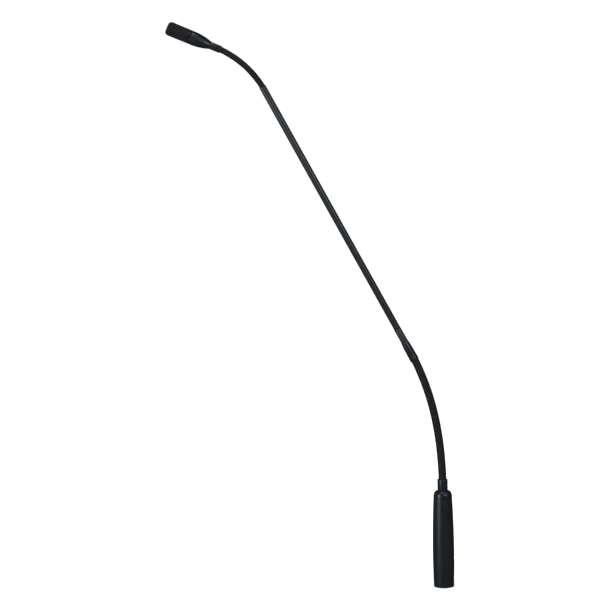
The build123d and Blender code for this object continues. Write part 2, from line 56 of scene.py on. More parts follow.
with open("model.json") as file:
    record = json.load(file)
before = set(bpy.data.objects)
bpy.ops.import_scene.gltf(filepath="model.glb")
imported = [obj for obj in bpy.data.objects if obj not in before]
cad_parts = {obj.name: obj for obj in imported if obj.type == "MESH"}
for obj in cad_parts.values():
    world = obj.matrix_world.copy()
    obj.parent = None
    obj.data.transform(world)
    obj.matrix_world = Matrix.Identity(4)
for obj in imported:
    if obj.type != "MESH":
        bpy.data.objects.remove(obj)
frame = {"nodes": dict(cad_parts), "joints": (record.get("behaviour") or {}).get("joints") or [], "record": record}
cad_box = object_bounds()
scene = bpy.context.scene
MM = 0.001

# ---------------------------------------------------------------- the frame's own measures


def chain(section):
    """Hinges of a flexible section, from its foot to its top."""
    return [joint for joint in frame["joints"] if joint["name"].startswith(section)]


def lean_of(sway_joint):
    """How far the stem leans towards -X at a sway hinge, whose axis lies across the stem."""
    return atan2(-sway_joint["axis"][2], -sway_joint["axis"][0])


def heading(lean):
    return Vector((-sin(lean), 0, cos(lean)))


lower = chain("lower")
upper = chain("upper")
lower_hinges = [Vector(joint["pos_m"]) for joint in lower]
upper_hinges = [Vector(joint["pos_m"]) for joint in upper]
lower_step = (lower_hinges[1] - lower_hinges[0]).length
upper_step = (upper_hinges[1] - upper_hinges[0]).length

tube_run = upper_hinges[0] - lower_hinges[-1]
tube_lean = atan2(-tube_run.x, tube_run.z)
head_lean = 2 * lean_of(upper[-2]) - lean_of(upper[-4])

lower_start = lower_hinges[0] - heading(0) * lower_step / 2
lower_end = lower_hinges[-1] + heading(tube_lean) * lower_step / 2
upper_start = upper_hinges[0] - heading(tube_lean) * upper_step / 2
upper_end = upper_hinges[-1] + heading(head_lean) * upper_step / 2

# Driving sizes, in millimetres
coil_radius = 3.62
coil_pitch = 1.84
coil_wire = 0.62
neck_coil_radius = 2.78
neck_pitch = 1.45
neck_wire = 0.47
cable_radius = 1.1
tube_radius = 3.03
collar_length = 10.0
head_length = 40.5
grille_start = 18.7
nose_start = 37.3
nose_radius = 4.2
head_radius = 6.08
grille_radius = 6.24
cloth_pitch = 0.5
cloth_wire = 0.1

head_rear = upper_end + heading(head_lean) * collar_length * MM


def seat(foot, lean):
    """Where a piece turned about +Z stands: its foot on the stem, leaning with it."""
    return Matrix.Translation(foot) @ Matrix.Rotation(-lean, 4, "Y") @ Matrix.Scale(MM, 4)


base_seat = seat(Vector(), 0)
tube_seat = seat(lower_end, tube_lean)
head_seat = seat(head_rear, head_lean)

# ---------------------------------------------------------------- finishes


RANGE_SOCKETS = ("From Min", "From Max", "To Min", "To Max")


class Finish:
    """One procedural surface finish; patterns lie in the frame's own metres."""

    def __init__(self, name, **sockets):
        self.material = bpy.data.materials.new(name)
        self.material.use_nodes = True
        self.tree = self.material.node_tree
        self.surface = self.tree.nodes["Principled BSDF"]
        self.place = self.node("ShaderNodeTexCoord").outputs["Object"]
        self.height = None
        for socket, value in sockets.items():
            self.surface.inputs[socket.replace("_", " ")].default_value = value

    def node(self, kind, **settings):
        made = self.tree.nodes.new(kind)
        for key, value in settings.items():
            setattr(made, key, value)
        return made

    def feed(self, target, source):
        if hasattr(source, "is_output"):
            self.tree.links.new(source, target)
        else:
            target.default_value = source

    def turned_place(self, lean=0.0, stretch=(1, 1, 1)):
        """Object coordinates turned to lie along the stem, and stretched."""
        mapping = self.node("ShaderNodeMapping")
        mapping.inputs["Rotation"].default_value = (0, lean, 0)
        mapping.inputs["Scale"].default_value = stretch
        self.tree.links.new(self.place, mapping.inputs["Vector"])
        return mapping.outputs["Vector"]

    def mottle(self, size, detail=3.0, place=None, rough=0.55):
        """Soft noise whose patches are about size millimetres across."""
        cloud = self.node("ShaderNodeTexNoise")
        cloud.inputs["Scale"].default_value = 1 / (size * MM)
        cloud.inputs["Detail"].default_value = detail
        cloud.inputs["Roughness"].default_value = rough
        self.tree.links.new(place or self.place, cloud.inputs["Vector"])
        return cloud.outputs["Fac"]

    def cells(self, size, place=None, feature="F1"):
        grains = self.node("ShaderNodeTexVoronoi", feature=feature)
        grains.inputs["Scale"].default_value = 1 / (size * MM)
        self.tree.links.new(place or self.place, grains.inputs["Vector"])
        return grains.outputs["Distance"]

    def bands(self, size, place=None, direction="Z"):
        """Stripes; at a scale of one, their node makes about 3.2 of them in a metre."""
        stripes = self.node("ShaderNodeTexWave", wave_type="BANDS", bands_direction=direction)
        stripes.inputs["Scale"].default_value = 1 / (size * MM) / 3.2
        self.tree.links.new(place or self.place, stripes.inputs["Vector"])
        return stripes.outputs["Fac"]

    def span(self, value, low, high, start=0.3, stop=0.7):
        """The value's middle range, spread between two limits."""
        spread = self.node("ShaderNodeMapRange")
        self.tree.links.new(value, spread.inputs["Value"])
        for socket, number in zip(RANGE_SOCKETS, (start, stop, low, high)):
            spread.inputs[socket].default_value = number
        return spread.outputs["Result"]

    def reckon(self, operation, first, second):
        sum_node = self.node("ShaderNodeMath", operation=operation)
        self.feed(sum_node.inputs[0], first)
        self.feed(sum_node.inputs[1], second)
        return sum_node.outputs[0]

    def blend(self, share, first, second):
        """A colour between two others, by the share."""
        mix = self.node("ShaderNodeMix", data_type="RGBA")
        self.feed(mix.inputs[0], share)
        self.feed(mix.inputs[6], first)
        self.feed(mix.inputs[7], second)
        return mix.outputs[2]

    def edge_share(self, low=0.52, high=0.6):
        """High on the sharp outer edges, where handling wears a finish."""
        shape = self.node("ShaderNodeNewGeometry").outputs["Pointiness"]
        return self.span(shape, 0.0, 1.0, low, high)

    def colour(self, value):
        self.feed(self.surface.inputs["Base Color"], value)

    def roughness(self, value):
        self.feed(self.surface.inputs["Roughness"], value)

    def relief(self, height, depth):
        """Adds a height of that many millimetres to the surface."""
        bump = self.node("ShaderNodeBump")
        bump.inputs["Distance"].default_value = depth * MM
        self.tree.links.new(height, bump.inputs["Height"])
        if self.height is not None:
            self.tree.links.new(self.height, bump.inputs["Normal"])
        self.height = bump.outputs["Normal"]
        self.tree.links.new(self.height, self.surface.inputs["Normal"])


def rgb(red, green, blue):
    return (red, green, blue, 1.0)


# Tints of the light that the black finishes throw back, lacquer and wire
COOL = rgb(0.72, 0.88, 1.0)
WIRE_TINT = rgb(0.84, 0.86, 1.0)


def satin_lacquer(name, shade, gloss=(0.34, 0.46), lean=0.0, drawn=False):
    """Black stove lacquer: faint orange peel, dust in it, edges rubbed by handling."""
    coat = Finish(
        name, Specular_IOR_Level=0.5, Specular_Tint=COOL, Coat_Weight=0.12, Coat_Roughness=0.3
    )
    dark = rgb(*(0.8 * tone for tone in shade))
    light = rgb(*(1.25 * tone for tone in shade))
    body = coat.blend(coat.span(coat.mottle(6.0), 0, 1), dark, light)
    specks = coat.span(coat.cells(1.7), 0.35, 0.0, 0.0, 0.07)
    body = coat.blend(specks, body, rgb(0.1, 0.1, 0.105))
    worn = coat.reckon("MULTIPLY", coat.edge_share(), coat.span(coat.mottle(1.1, 5.0), 0.0, 0.5))
    coat.colour(coat.blend(worn, body, rgb(0.04, 0.043, 0.048)))
    wipe = coat.mottle(9.0, 4.0, coat.turned_place(lean, (1, 1, 0.25)))
    coat.roughness(coat.span(wipe, *gloss))
    coat.relief(coat.mottle(0.5, 2.0), 0.006)
    if drawn:
        coat.relief(coat.mottle(0.22, 2.0, coat.turned_place(lean, (1, 1, 0.012))), 0.005)
    return coat.material


def oxide_wire(name, shade):
    """Black oxide on wound wire, rubbed lighter along the crowns."""
    wire = Finish(name, Specular_IOR_Level=0.16, Specular_Tint=WIRE_TINT)
    body = wire.blend(
        wire.span(wire.mottle(2.4, 4.0), 0, 1),
        rgb(*(0.7 * tone for tone in shade)),
        rgb(*(1.3 * tone for tone in shade)),
    )
    crowns = wire.edge_share(0.5, 0.62)
    handled = wire.span(wire.mottle(3.5, 3.0), 0.1, 0.6)
    rubbed = wire.reckon("MULTIPLY", crowns, handled)
    wire.colour(wire.blend(rubbed, body, rgb(0.016, 0.017, 0.02)))
    wire.roughness(wire.span(wire.mottle(1.3, 3.0), 0.42, 0.6))
    wire.relief(wire.mottle(0.16, 2.0), 0.006)
    return wire.material


def moulding(name, shade, gloss=(0.45, 0.6), grain=0.22, depth=0.01):
    """Injection moulding with a fine spark-eroded grain."""
    plastic = Finish(name, Specular_IOR_Level=0.45)
    plastic.colour(
        plastic.blend(
            plastic.span(plastic.mottle(3.0), 0, 1),
            rgb(*(0.82 * tone for tone in shade)),
            rgb(*(min(1.0, 1.15 * tone) for tone in shade)),
        )
    )
    plastic.roughness(plastic.span(plastic.mottle(1.0), *gloss))
    plastic.relief(plastic.mottle(grain, 1.0), depth)
    return plastic.material


def bare_metal(name, shade, gloss=(0.18, 0.34), lines=0.12, lean=0.0, across=True):
    """Turned or drawn metal: fine tool lines, and a film of tarnish in patches."""
    metal = Finish(name, Metallic=1.0)
    patches = metal.span(metal.mottle(2.2, 5.0), 0, 1)
    metal.colour(metal.blend(patches, rgb(*shade), rgb(*(0.78 * tone for tone in shade))))
    metal.roughness(metal.span(metal.mottle(1.4, 3.0), *gloss))
    stretch = (0.03, 0.03, 1) if across else (1, 1, 0.03)
    metal.relief(metal.mottle(lines, 2.0, metal.turned_place(lean, stretch)), 0.003)
    return metal.material


def soft_rubber(name, shade):
    rubber = Finish(name, Specular_IOR_Level=0.35, Sheen_Weight=0.08, Sheen_Roughness=0.5)
    bloom = rubber.span(rubber.mottle(2.6, 4.0), 0, 1)
    rubber.colour(rubber.blend(bloom, rgb(*shade), rgb(*(1.5 * tone for tone in shade))))
    rubber.roughness(rubber.span(rubber.mottle(0.9), 0.6, 0.78))
    rubber.relief(rubber.mottle(0.18, 2.0), 0.012)
    return rubber.material


def glass_laminate(name):
    """Green mask over woven glass: the weave shows through as a faint grid."""
    board = Finish(name, Coat_Weight=0.25, Coat_Roughness=0.2)
    weave = board.reckon("MULTIPLY", board.bands(0.7, direction="X"), board.bands(0.7))
    tracks = board.span(board.cells(2.6, feature="DISTANCE_TO_EDGE"), 1.0, 0.0, 0.04, 0.09)
    mask = board.blend(board.span(weave, 0, 1), rgb(0.012, 0.075, 0.03), rgb(0.02, 0.11, 0.045))
    board.colour(board.blend(board.reckon("MULTIPLY", tracks, 0.5), mask, rgb(0.05, 0.2, 0.07)))
    board.roughness(board.span(board.mottle(2.0), 0.3, 0.42))
    board.relief(weave, 0.006)
    board.relief(tracks, 0.03)
    return board.material


def open_foam(name, shade):
    """Open-cell foam: round pores with thin walls between them; the pores are sunk by a bump, and their hollows
    are darkened in colour as painted shade.
    """
    foam = Finish(name, Specular_IOR_Level=0.2, Sheen_Weight=0.15, Sheen_Roughness=0.6)
    pore_depth_and_shade = foam.span(foam.cells(0.3), 0, 1, 0.1, 0.6)
    # painted shade: the colour goes darker towards the middle of each pore's hollow
    foam.colour(foam.blend(pore_depth_and_shade, rgb(*(0.3 * tone for tone in shade)), rgb(*shade)))
    foam.roughness(foam.span(foam.mottle(0.8), 0.85, 0.97))
    foam.relief(pore_depth_and_shade, 0.09)
    return foam.material


BLACK = (0.0045, 0.0054, 0.0072)
finishes = {
    "housing_lacquer": satin_lacquer("housing_lacquer", BLACK, (0.3, 0.42)),
    "plug_moulding": moulding("plug_moulding", (0.02, 0.02, 0.022)),
    "contact_plating": bare_metal("contact_plating", (0.83, 0.66, 0.36)),
    "spring_strip": bare_metal("spring_strip", (0.6, 0.6, 0.58), (0.28, 0.42), across=False),
    "screw_black": satin_lacquer("screw_black", (0.018, 0.018, 0.02), (0.3, 0.45)),
    "lead_insulation": moulding("lead_insulation", (0.32, 0.03, 0.02), (0.35, 0.5), 0.4, 0.006),
    "board_laminate": glass_laminate("board_laminate"),
    "capacitor_sleeve": moulding(
        "capacitor_sleeve", (0.03, 0.035, 0.07), (0.2, 0.34), 0.6, 0.01
    ),
    "film_box": moulding("film_box", (0.46, 0.05, 0.03), (0.22, 0.34), 0.5, 0.008),
    "chip_epoxy": moulding("chip_epoxy", (0.022, 0.022, 0.023), (0.55, 0.7), 0.12, 0.012),
    "header_nylon": moulding("header_nylon", (0.76, 0.73, 0.64), (0.4, 0.5), 0.35, 0.006),
    "ring_nylon": moulding("ring_nylon", (0.6, 0.58, 0.52), (0.4, 0.55), 0.35, 0.006),
    "grommet_rubber": soft_rubber("grommet_rubber", (0.018, 0.018, 0.019)),
    "ferrule_lacquer": satin_lacquer("ferrule_lacquer", BLACK, (0.28, 0.4)),
    "nut_nickel": bare_metal("nut_nickel", (0.68, 0.65, 0.58), (0.22, 0.36)),
    "coil_black": oxide_wire("coil_black", (0.004, 0.0043, 0.0055)),
    "coupling_lacquer": satin_lacquer("coupling_lacquer", BLACK, (0.32, 0.44), tube_lean),
    "sleeve_black": moulding("sleeve_black", (0.015, 0.016, 0.018), (0.4, 0.52), 0.8, 0.012),
    # painted light: the tube's black is about twice as light as the housing's, a lighter copy of the same lacquer
    # that stands in for the extra light the tube catches
    "tube_lacquer": satin_lacquer(
        "tube_lacquer", (0.0085, 0.009, 0.0102), (0.34, 0.45), tube_lean, drawn=True
    ),
    "cable_jacket": soft_rubber("cable_jacket", (0.045, 0.045, 0.05)),
    "head_lacquer": satin_lacquer("head_lacquer", BLACK, (0.3, 0.42), head_lean),
    "grille_cloth": oxide_wire("grille_cloth", (0.0065, 0.007, 0.0083)),
    "foam_grey": open_foam("foam_grey", (0.03, 0.03, 0.034)),
    "seat_moulding": moulding("seat_moulding", (0.028, 0.028, 0.03)),
    "capsule_can_metal": bare_metal(
        "capsule_can_metal", (0.74, 0.74, 0.73), (0.26, 0.4), lean=head_lean
    ),
    "capsule_rubber": soft_rubber("capsule_rubber", (0.026, 0.026, 0.026)),
    "capsule_brass": bare_metal("capsule_brass", (0.74, 0.58, 0.3), lean=head_lean),
    "diaphragm_film": bare_metal(
        "diaphragm_film", (0.84, 0.76, 0.56), (0.08, 0.16), 1.6, head_lean
    ),
    "capsule_moulding": moulding("capsule_moulding", (0.82, 0.8, 0.72), (0.3, 0.42)),
}

slot_of = {part["node"]: part["material_slot"] for part in frame["record"]["subparts"]}
for node, part in frame["nodes"].items():
    part.data.materials.clear()
    part.data.materials.append(finishes[slot_of[node]])

# ---------------------------------------------------------------- making pieces


def finished(name, shape, place, slot, sharp=40.0):
    """Closes a bmesh made in millimetres and puts it in the frame as a piece."""
    bmesh.ops.remove_doubles(shape, verts=shape.verts[:], dist=0.0005)
    bmesh.ops.recalc_face_normals(shape, faces=shape.faces[:])
    mesh = bpy.data.meshes.new(name)
    shape.to_mesh(mesh)
    shape.free()
    mesh.transform(place)
    mesh.shade_smooth()
    mesh.set_sharp_from_angle(angle=radians(sharp))
    mesh.materials.append(finishes[slot])
    made = bpy.data.objects.new(name, mesh)
    scene.collection.objects.link(made)
    return made


def bow(start, end, leaving, steps=16):
    """Points of the arc from start to end that leaves start along a direction."""
    first = Vector(start)
    chord = Vector(end) - first
    along = Vector(leaving).normalized()
    turn = atan2(along.x * chord.y - along.y * chord.x, along.dot(chord))
    points = []
    for step in range(steps + 1):
        part = turn * step / steps
        reach = chord.length * sin(part) / sin(turn)
        points.append(first + reach * (Matrix.Rotation(part, 2) @ along))
    return [tuple(point) for point in points]


def spun(outline, segments=96):
    """A turned shape: the outline's corners (radius, height[, rounding]) go round +Z."""
    shape = bmesh.new()
    corners = [shape.verts.new((corner[0], 0, corner[1])) for corner in outline]
    shape.faces.new(corners)
    for corner, numbers in zip(corners, outline):
        if len(numbers) == 3:
            bmesh.ops.bevel(
                shape, geom=[corner], offset=numbers[2], offset_type="OFFSET", segments=4,
                profile=0.5, affect="VERTICES", clamp_overlap=True, material=-1,
            )
    bmesh.ops.delete(shape, geom=shape.faces[:], context="FACES_ONLY")
    sides = [edge for edge in shape.edges if max(vert.co.x for vert in edge.verts) > 0]
    bmesh.ops.spin(
        shape, geom=sides, cent=(0, 0, 0), axis=(0, 0, 1), angle=tau, steps=segments,
        use_merge=True, use_duplicate=False,
    )
    loose = [edge for edge in shape.edges if not edge.link_faces]
    bmesh.ops.delete(shape, geom=loose, context="EDGES")
    return shape


def turned(name, outline, place, slot, body, *replaced, segments=96, sharp=40.0):
    piece = finished(name, spun(outline, segments), place, slot, sharp)
    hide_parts(*replaced)
    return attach(piece, body)


def cut(piece, *cutters):
    """Takes the cutters, closed bmeshes in millimetres at the base, out of a piece."""
    for number, cutter in enumerate(cutters):
        tool_mesh = bpy.data.meshes.new(f"cutter_{number}")
        bmesh.ops.recalc_face_normals(cutter, faces=cutter.faces[:])
        cutter.to_mesh(tool_mesh)
        cutter.free()
        tool_mesh.transform(base_seat)
        tool = bpy.data.objects.new(tool_mesh.name, tool_mesh)
        scene.collection.objects.link(tool)
        hole = piece.modifiers.new("hole", "BOOLEAN")
        hole.operation = "DIFFERENCE"
        hole.solver = "EXACT"
        hole.object = tool
        result = bpy.data.meshes.new_from_object(
            piece.evaluated_get(bpy.context.evaluated_depsgraph_get())
        )
        piece.modifiers.clear()
        piece.data = result
        bpy.data.objects.remove(tool)
    piece.data.shade_smooth()
    piece.data.set_sharp_from_angle(angle=radians(40.0))


# ---------------------------------------------------------------- base

housing_top = 85.5
mouth_radius = 8.9
socket_radius = 8.0
chamber_radius = 7.2
belly = (9.5, 28.0)
shoulder = (8.15, 81.3)
crown = (6.46, housing_top)
shank_hole = 4.15
chamber_top = 80.5
insert_top = 29.5
wall_middle = 9.5
cut_depth = 6.0
shell_outline = (
    [(socket_radius, 0, 0.3), (mouth_radius, 0, 0.35)]
    + bow(belly, (mouth_radius, 0), (0, -1))[-2:0:-1]
    + bow(belly, shoulder, (0, 1), 32)[:-1]
    + bow(shoulder, crown, (0, 1), 10)[:-1]
    + [(*crown, 0.25), (shank_hole, crown[1], 0.15), (shank_hole, chamber_top)]
    + [(chamber_radius, chamber_top, 0.4), (chamber_radius, insert_top), (socket_radius, insert_top)]
)
housing = turned(
    "housing_barrel", shell_outline, base_seat, "housing_lacquer", "base", "housing_shell", segments=160
)


def radial_hole(radius, height):
    """A round cutter through the +X wall."""
    drill = bmesh.new()
    bmesh.ops.create_cone(
        drill, cap_ends=True, segments=48, radius1=radius, radius2=radius, depth=cut_depth
    )
    place = Matrix.Translation((wall_middle, 0, height)) @ Matrix.Rotation(pi / 2, 4, "Y")
    bmesh.ops.transform(drill, matrix=place, verts=drill.verts)
    return drill


def latch_window(width, length, height):
    """A square cutter with rounded corners through the +X wall."""
    punch = bmesh.new()
    bmesh.ops.create_cube(punch, size=1.0)
    bmesh.ops.scale(punch, vec=(cut_depth, width, length), verts=punch.verts)
    bmesh.ops.translate(punch, vec=(wall_middle, 0, height), verts=punch.verts)
    corners = [edge for edge in punch.edges if abs(edge.verts[0].co.x - edge.verts[1].co.x) > 1]
    bmesh.ops.bevel(
        punch, geom=corners, offset=0.8, offset_type="OFFSET", segments=6, profile=0.5,
        affect="EDGES", material=-1,
    )
    return punch


screw_hole = radial_hole(radius=2.1, height=25.5)
latch_hole = latch_window(width=3.6, length=3.2, height=8.0)
cut(housing, screw_hole, latch_hole)

key_rib = bmesh.new()
bmesh.ops.create_cube(key_rib, size=1.0)
key_size = (1.3, 1.4, 5.5)
key_middle = (7.75, 0, 13.75)
bmesh.ops.scale(key_rib, vec=key_size, verts=key_rib.verts)
bmesh.ops.bevel(
    key_rib, geom=key_rib.edges[:], offset=0.15, offset_type="OFFSET", segments=3, profile=0.5,
    affect="EDGES", material=-1,
)
bmesh.ops.translate(key_rib, vec=key_middle, verts=key_rib.verts)
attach(finished("socket_key", key_rib, base_seat, "housing_lacquer"), "base")

ferrule_top = lower_start.z / MM
shank_low = 75.5
shank_radius = 4.12
ferrule_radius = 4.56
coil_fit = 3.65
coil_bore = 2.2
coil_seat = 78.0
turned(
    "stem_ferrule",
    [
        (coil_bore, shank_low),
        (shank_radius, shank_low, 0.3),
        (shank_radius, housing_top),
        (ferrule_radius, housing_top, 0.12),
        (ferrule_radius, ferrule_top, 0.55),
        (coil_fit, ferrule_top, 0.1),
        (coil_fit, coil_seat),
        (coil_bore, coil_seat),
    ],
    base_seat, "ferrule_lacquer", "base", "base_ferrule",
)

# ---------------------------------------------------------------- stem lines


def walker(points):
    """Distance along a line of points -> point and heading there; it runs on past both ends."""
    reach = [0.0]
    for before, after in zip(points, points[1:]):
        reach.append(reach[-1] + (after - before).length)

    def at(distance):
        span = min(max(bisect_right(reach, distance) - 1, 0), len(points) - 2)
        way = (points[span + 1] - points[span]).normalized()
        return points[span] + way * (distance - reach[span]), way

    return at, reach[-1]


def smooth_line(controls):
    """Points read from one smooth spline that has these control points."""
    curve = bpy.data.curves.new("line", "CURVE")
    curve.dimensions = "3D"
    spline = curve.splines.new("NURBS")
    spline.points.add(len(controls) - 1)
    for point, control in zip(spline.points, controls):
        point.co = (*control, 1.0)
    spline.order_u = 3
    spline.use_endpoint_u = True
    spline.resolution_u = 40
    holder = bpy.data.objects.new("line", curve)
    scene.collection.objects.link(holder)
    mesh = bpy.data.meshes.new_from_object(holder.evaluated_get(bpy.context.evaluated_depsgraph_get()))
    points = [vert.co.copy() for vert in mesh.vertices]
    bpy.data.objects.remove(holder)
    bpy.data.meshes.remove(mesh)
    return points


def section_line(start, hinges, end):
    """The smooth centre line of a flexible section, by distance in millimetres from its foot."""
    at, length = walker(smooth_line([start] + hinges[::2] + [end]))
    step = (hinges[1] - hinges[0]).length / MM
    stretch = length / (step * len(hinges))
    return lambda distance: at(distance * stretch)


def follow(shape, line):
    """Bends a straight shape in millimetres, with its length along +Z, onto a line."""
    for vert in shape.verts:
        point, way = line(vert.co.z)
        side = Vector((way.z, 0, -way.x)).normalized()
        vert.co = point + (side * vert.co.x + way.cross(side) * vert.co.y) * MM


lower_line = section_line(lower_start, lower_hinges, lower_end)
upper_line = section_line(upper_start, upper_hinges, upper_end)

# ---------------------------------------------------------------- flexible sections


def wound(shape, section, pitch, low, high):
    """Adds one wire wound about +Z: its closed section goes round from low to high."""
    steps = ceil((high - low) / pitch * 32)
    turn = Matrix.Rotation(tau * low / pitch, 4, "Z")
    ring = [shape.verts.new(turn @ Vector((x, 0, z + low))) for x, z in section]
    edges = [shape.edges.new(pair) for pair in zip(ring, ring[1:] + ring[:1])]
    bmesh.ops.spin(
        shape, geom=edges, cent=(0, 0, 0), axis=(0, 0, 1), angle=tau * (high - low) / pitch,
        dvec=(0, 0, (high - low) / steps), steps=steps, use_merge=False, use_duplicate=False,
    )
    rims = [edge for edge in shape.edges if len(edge.link_faces) == 1]
    bmesh.ops.holes_fill(shape, edges=rims, sides=0)


def round_section(radius, wire, sides=10):
    """The round spring wire, whose crown reaches the section's full radius."""
    middle = radius - wire
    return [(middle + wire * cos(tau * n / sides), wire * sin(tau * n / sides)) for n in range(sides)]


def wedge_section(radius, wire, pitch):
    """The soft wedge wire that is pressed between two turns of the round one."""
    gap = pitch / 2 - wire
    face = radius - 0.36 * wire
    return [
        (face, pitch / 2 - gap - 0.3 * wire),
        (face + 0.08, pitch / 2),
        (face, pitch / 2 + gap + 0.3 * wire),
        (radius - 1.2 * wire, pitch / 2 + gap * 0.9),
        (radius - 1.2 * wire, pitch / 2 - gap * 0.9),
    ]


def flexible(section, hinges, line, radius, wire, pitch, foot, head, nodes):
    """One piece of winding for each hinge, from middle of link to middle of link."""
    joints = chain(section)
    step = (hinges[1] - hinges[0]).length / MM
    for number, joint in enumerate(joints):
        low = number * step - (foot if number == 0 else 0)
        high = (number + 1) * step + (head if number == len(joints) - 1 else 0)
        winding = bmesh.new()
        wound(winding, round_section(radius, wire), pitch, low, high)
        wound(winding, wedge_section(radius, wire, pitch), pitch, low, high)
        follow(winding, line)
        piece = bpy.data.meshes.new(f"{section}_winding_{number + 1}")
        bmesh.ops.recalc_face_normals(winding, faces=winding.faces[:])
        winding.to_mesh(piece)
        winding.free()
        piece.shade_smooth()
        piece.set_sharp_from_angle(angle=radians(50.0))
        piece.materials.append(finishes["coil_black"])
        made = bpy.data.objects.new(piece.name, piece)
        scene.collection.objects.link(made)
        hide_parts(nodes[number])
        if number == len(joints) - 1:
            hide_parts(nodes[number + 1])
        start, _ = line(number * step)
        end, _ = line((number + 1) * step)
        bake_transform(made)


def coil_nodes(section, count):
    links = [f"{section}_coil_link_{number}" for number in range(1, count)]
    return [f"{section}_coil_foot", *links, f"{section}_coil_head"]


coil_depth = 9.0
collar_seat = 6.0
spigot_length = 8.0
neck_coil_foot = 0.4
flexible(
    "lower", lower_hinges, lower_line, coil_radius, coil_wire, coil_pitch,
    ferrule_top - coil_seat, coil_depth, coil_nodes("lower", len(lower)),
)
flexible(
    "upper", upper_hinges, upper_line, neck_coil_radius, neck_wire, neck_pitch,
    neck_coil_foot, collar_seat, coil_nodes("upper", len(upper)),
)

# ---------------------------------------------------------------- coupling, sleeve and tube

coupling_length = 19.5
coupling_radius = 4.02
coupling_lip = 3.5
waist_radius = 3.87
waist_end = 11.5
coupling_end_radius = 3.31
sleeve_radius = 3.2
sleeve_end = 31.5
tube_fit = 3.06
tube_start = 11.0
tube_end = (upper_start - lower_end).length / MM
tube_bore = 2.43
turned(
    "coil_coupling",
    [
        (coil_fit, 0, 0.1),
        (coupling_radius, 0, 0.25),
        (coupling_radius, coupling_lip, 0.12),
        (waist_radius, coupling_lip + 0.15),
        (waist_radius, waist_end, 0.8),
        (coupling_end_radius, coupling_length, 0.12),
        (tube_fit, coupling_length),
        (tube_fit, tube_start),
        (coil_bore, tube_start),
        (coil_bore, coil_depth),
        (coil_fit, coil_depth),
    ],
    tube_seat, "coupling_lacquer", "stem_tube", "tube_coupling",
)
turned(
    "shrunk_sleeve",
    [
        (tube_fit, coupling_length),
        (sleeve_radius, coupling_length, 0.05),
        (sleeve_radius, sleeve_end - 0.4),
        (sleeve_radius - 0.08, sleeve_end, 0.05),
        (tube_fit, sleeve_end),
    ],
    tube_seat, "sleeve_black", "stem_tube", "coupling_sleeve",
)
turned(
    "drawn_tube",
    [
        (tube_bore, tube_start),
        (tube_radius, tube_start, 0.15),
        (tube_radius, tube_end, 0.22),
        (tube_bore, tube_end, 0.08),
    ],
    tube_seat, "tube_lacquer", "stem_tube", "rigid_tube",
)
neck_bore = 1.55
neck_foot_radius = tube_bore - 0.03
neck_foot_low = tube_end - spigot_length
neck_foot_high = tube_end - neck_coil_foot
neck_foot = spun(
    [
        (neck_bore, neck_foot_low),
        (neck_foot_radius, neck_foot_low, 0.2),
        (neck_foot_radius, neck_foot_high, 0.1),
        (neck_bore, neck_foot_high),
    ],
    64,
)
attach(finished("neck_spigot", neck_foot, tube_seat, "coil_black"), "stem_tube")

# ---------------------------------------------------------------- signal cable


def cable_piece(name, line, low, high):
    """A length of the cable inside the stem, between two distances along a line."""
    shape = bmesh.new()
    bmesh.ops.create_circle(shape, cap_ends=False, radius=cable_radius, segments=20)
    bmesh.ops.translate(shape, vec=(0, 0, low), verts=shape.verts)
    steps = max(2, ceil((high - low) / 1.5))
    bmesh.ops.spin(
        shape, geom=shape.edges[:], cent=(0, 0, 0), axis=(0, 0, 1), angle=0.0,
        dvec=(0, 0, (high - low) / steps), steps=steps, use_merge=False, use_duplicate=False,
    )
    bmesh.ops.holes_fill(shape, edges=shape.edges[:], sides=0)
    follow(shape, line)
    bmesh.ops.scale(shape, vec=(1 / MM, 1 / MM, 1 / MM), verts=shape.verts)
    return finished(name, shape, Matrix.Scale(MM, 4), "cable_jacket", 60.0)


plug_low, plug_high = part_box("stem_plug")
plug_middle = (plug_low + plug_high) / 2
first_rise = 5.0
centring_rise = 11.3
board_run = [
    Vector((0, plug_middle.y, plug_high.z)),
    Vector((0, plug_middle.y, plug_high.z + first_rise * MM)),
    Vector((0, 0, plug_high.z + centring_rise * MM)),
    lower_start,
]
run_at, run_length = walker(smooth_line(board_run))
base_cable = cable_piece("cable_base", lambda distance: run_at(distance * MM), 0, run_length / MM)
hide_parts("signal_cable")
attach(base_cable, "base")
stem_sections = (("lower", lower_hinges, lower_line), ("upper", upper_hinges, upper_line))
for section, hinges, line in stem_sections:
    link = (hinges[1] - hinges[0]).length / MM
    for number, joint in enumerate(chain(section)):
        piece = cable_piece(f"cable_{section}_{number + 1}", line, number * link, (number + 1) * link)
        start, _ = line(number * link)
        end, _ = line((number + 1) * link)
        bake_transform(piece)
tube_at, tube_length = walker([lower_end, upper_start])
tube_cable = cable_piece("cable_tube", lambda distance: tube_at(distance * MM), 0, tube_length / MM)
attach(tube_cable, "stem_tube")
cable_stop = 13.5
cable_reach = collar_length + cable_stop
head_at, _ = walker([upper_end, head_rear])
head_cable = cable_piece("cable_head", lambda distance: head_at(distance * MM), 0, cable_reach)
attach(head_cable, "head")

# ---------------------------------------------------------------- head

